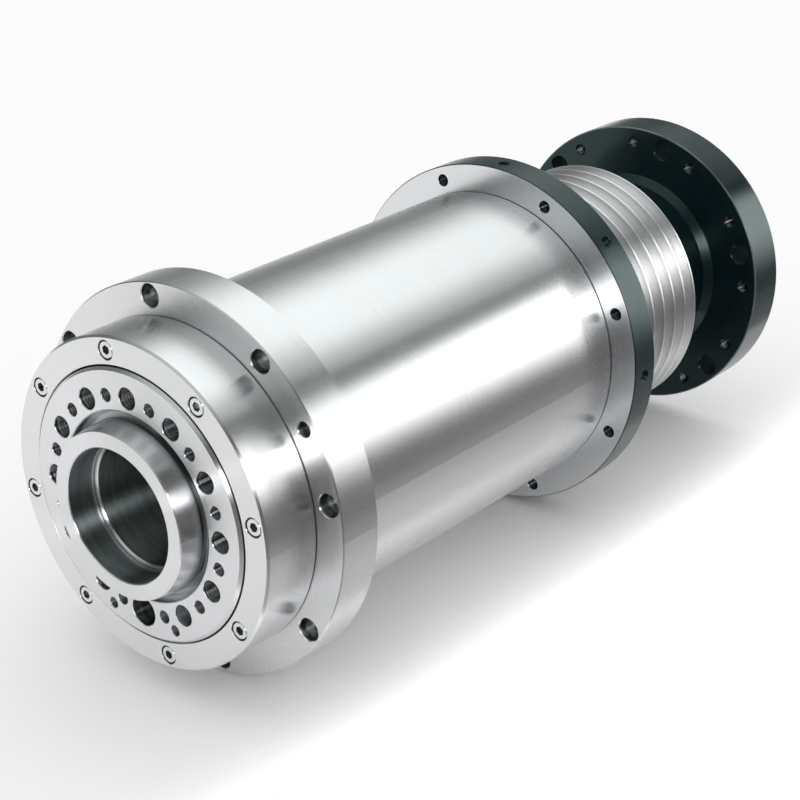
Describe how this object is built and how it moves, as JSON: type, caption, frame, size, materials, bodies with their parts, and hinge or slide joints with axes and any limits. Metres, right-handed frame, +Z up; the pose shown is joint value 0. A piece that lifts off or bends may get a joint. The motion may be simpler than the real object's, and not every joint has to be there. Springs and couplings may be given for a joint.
{
  "type": "belt drive spindle",
  "caption": "Cartridge spindle for a lathe headstock: flanged barrel, short taper nose, multi-groove belt pulley and rear disc for an actuating cylinder.",
  "frame": {"origin": "on the spindle axis, in the plane of the flange face that seats on the headstock", "axes": "+Y along the axis from the nose to the rear disc, +Z up"},
  "size_m": [0.1894, 0.4322, 0.1894],
  "materials": {
    "housing_steel": "fine ground, bright",
    "cover_steel": "fine ground, bright",
    "spindle_steel": "precision ground",
    "screw_steel": "zinc plated",
    "ring_steel": "blackened, front face ground bright",
    "blackened_steel": "black oxide",
    "pulley_alloy": "turned",
    "inner_steel": "turned",
    "bearing_steel": "ground",
    "ball_steel": "polished",
    "cage_phenolic": "fabric laminate",
    "seal_rubber": "matt"
  },
  "bodies": {
    "housing": {"housing": "housing_steel", "front_cover": "cover_steel", "front_cover_screws": "screw_steel", "front_cover_o_ring": "seal_rubber", "rear_ring": "ring_steel", "rear_ring_screws": "blackened_steel", "rear_ring_o_ring": "seal_rubber", "front_outer_ring_1": "bearing_steel", "front_outer_ring_2": "bearing_steel", "front_outer_ring_3": "bearing_steel", "front_outer_spacer": "inner_steel", "rear_outer_ring_1": "bearing_steel", "rear_outer_ring_2": "bearing_steel", "rear_outer_spacer": "inner_steel"},
    "spindle": {"spindle_shaft": "spindle_steel", "front_labyrinth_ring": "inner_steel", "front_inner_ring_1": "bearing_steel", "front_inner_ring_2": "bearing_steel", "front_inner_ring_3": "bearing_steel", "front_inner_spacer": "inner_steel", "front_locknut": "blackened_steel", "front_locknut_screws": "blackened_steel", "rear_inner_ring_1": "bearing_steel", "rear_inner_ring_2": "bearing_steel", "rear_inner_spacer": "inner_steel", "rear_labyrinth_sleeve": "inner_steel", "pulley": "pulley_alloy", "pulley_key": "inner_steel", "pulley_locknut": "blackened_steel", "pulley_locknut_screws": "blackened_steel", "cylinder_adapter": "blackened_steel", "adapter_set_screws": "blackened_steel"},
    "front_cage_set_1": {"front_cage_1": "cage_phenolic", "front_balls_1": "ball_steel"},
    "front_cage_set_2": {"front_cage_2": "cage_phenolic", "front_balls_2": "ball_steel"},
    "front_cage_set_3": {"front_cage_3": "cage_phenolic", "front_balls_3": "ball_steel"},
    "rear_cage_set_1": {"rear_cage_1": "cage_phenolic", "rear_balls_1": "ball_steel"},
    "rear_cage_set_2": {"rear_cage_2": "cage_phenolic", "rear_balls_2": "ball_steel"}
  },
  "joints": [
    {"name": "spindle_spin", "type": "hinge", "parent": "housing", "child": "spindle", "pos_m": [0, 0, 0], "axis": [0, 1, 0], "continuous": true},
    {"name": "front_cage_1_spin", "type": "hinge", "parent": "housing", "child": "front_cage_set_1", "pos_m": [0, 0, 0], "axis": [0, 1, 0], "continuous": true},
    {"name": "front_cage_2_spin", "type": "hinge", "parent": "housing", "child": "front_cage_set_2", "pos_m": [0, 0, 0], "axis": [0, 1, 0], "continuous": true},
    {"name": "front_cage_3_spin", "type": "hinge", "parent": "housing", "child": "front_cage_set_3", "pos_m": [0, 0, 0], "axis": [0, 1, 0], "continuous": true},
    {"name": "rear_cage_1_spin", "type": "hinge", "parent": "housing", "child": "rear_cage_set_1", "pos_m": [0, 0, 0], "axis": [0, 1, 0], "continuous": true},
    {"name": "rear_cage_2_spin", "type": "hinge", "parent": "housing", "child": "rear_cage_set_2", "pos_m": [0, 0, 0], "axis": [0, 1, 0], "continuous": true}
  ],
  "couplings": [
    {"joint": "front_cage_1_spin", "follows": "spindle_spin", "ratio": 0.4371},
    {"joint": "front_cage_2_spin", "follows": "spindle_spin", "ratio": 0.4371},
    {"joint": "front_cage_3_spin", "follows": "spindle_spin", "ratio": 0.4371},
    {"joint": "rear_cage_1_spin", "follows": "spindle_spin", "ratio": 0.4364},
    {"joint": "rear_cage_2_spin", "follows": "spindle_spin", "ratio": 0.4364}
  ]
}
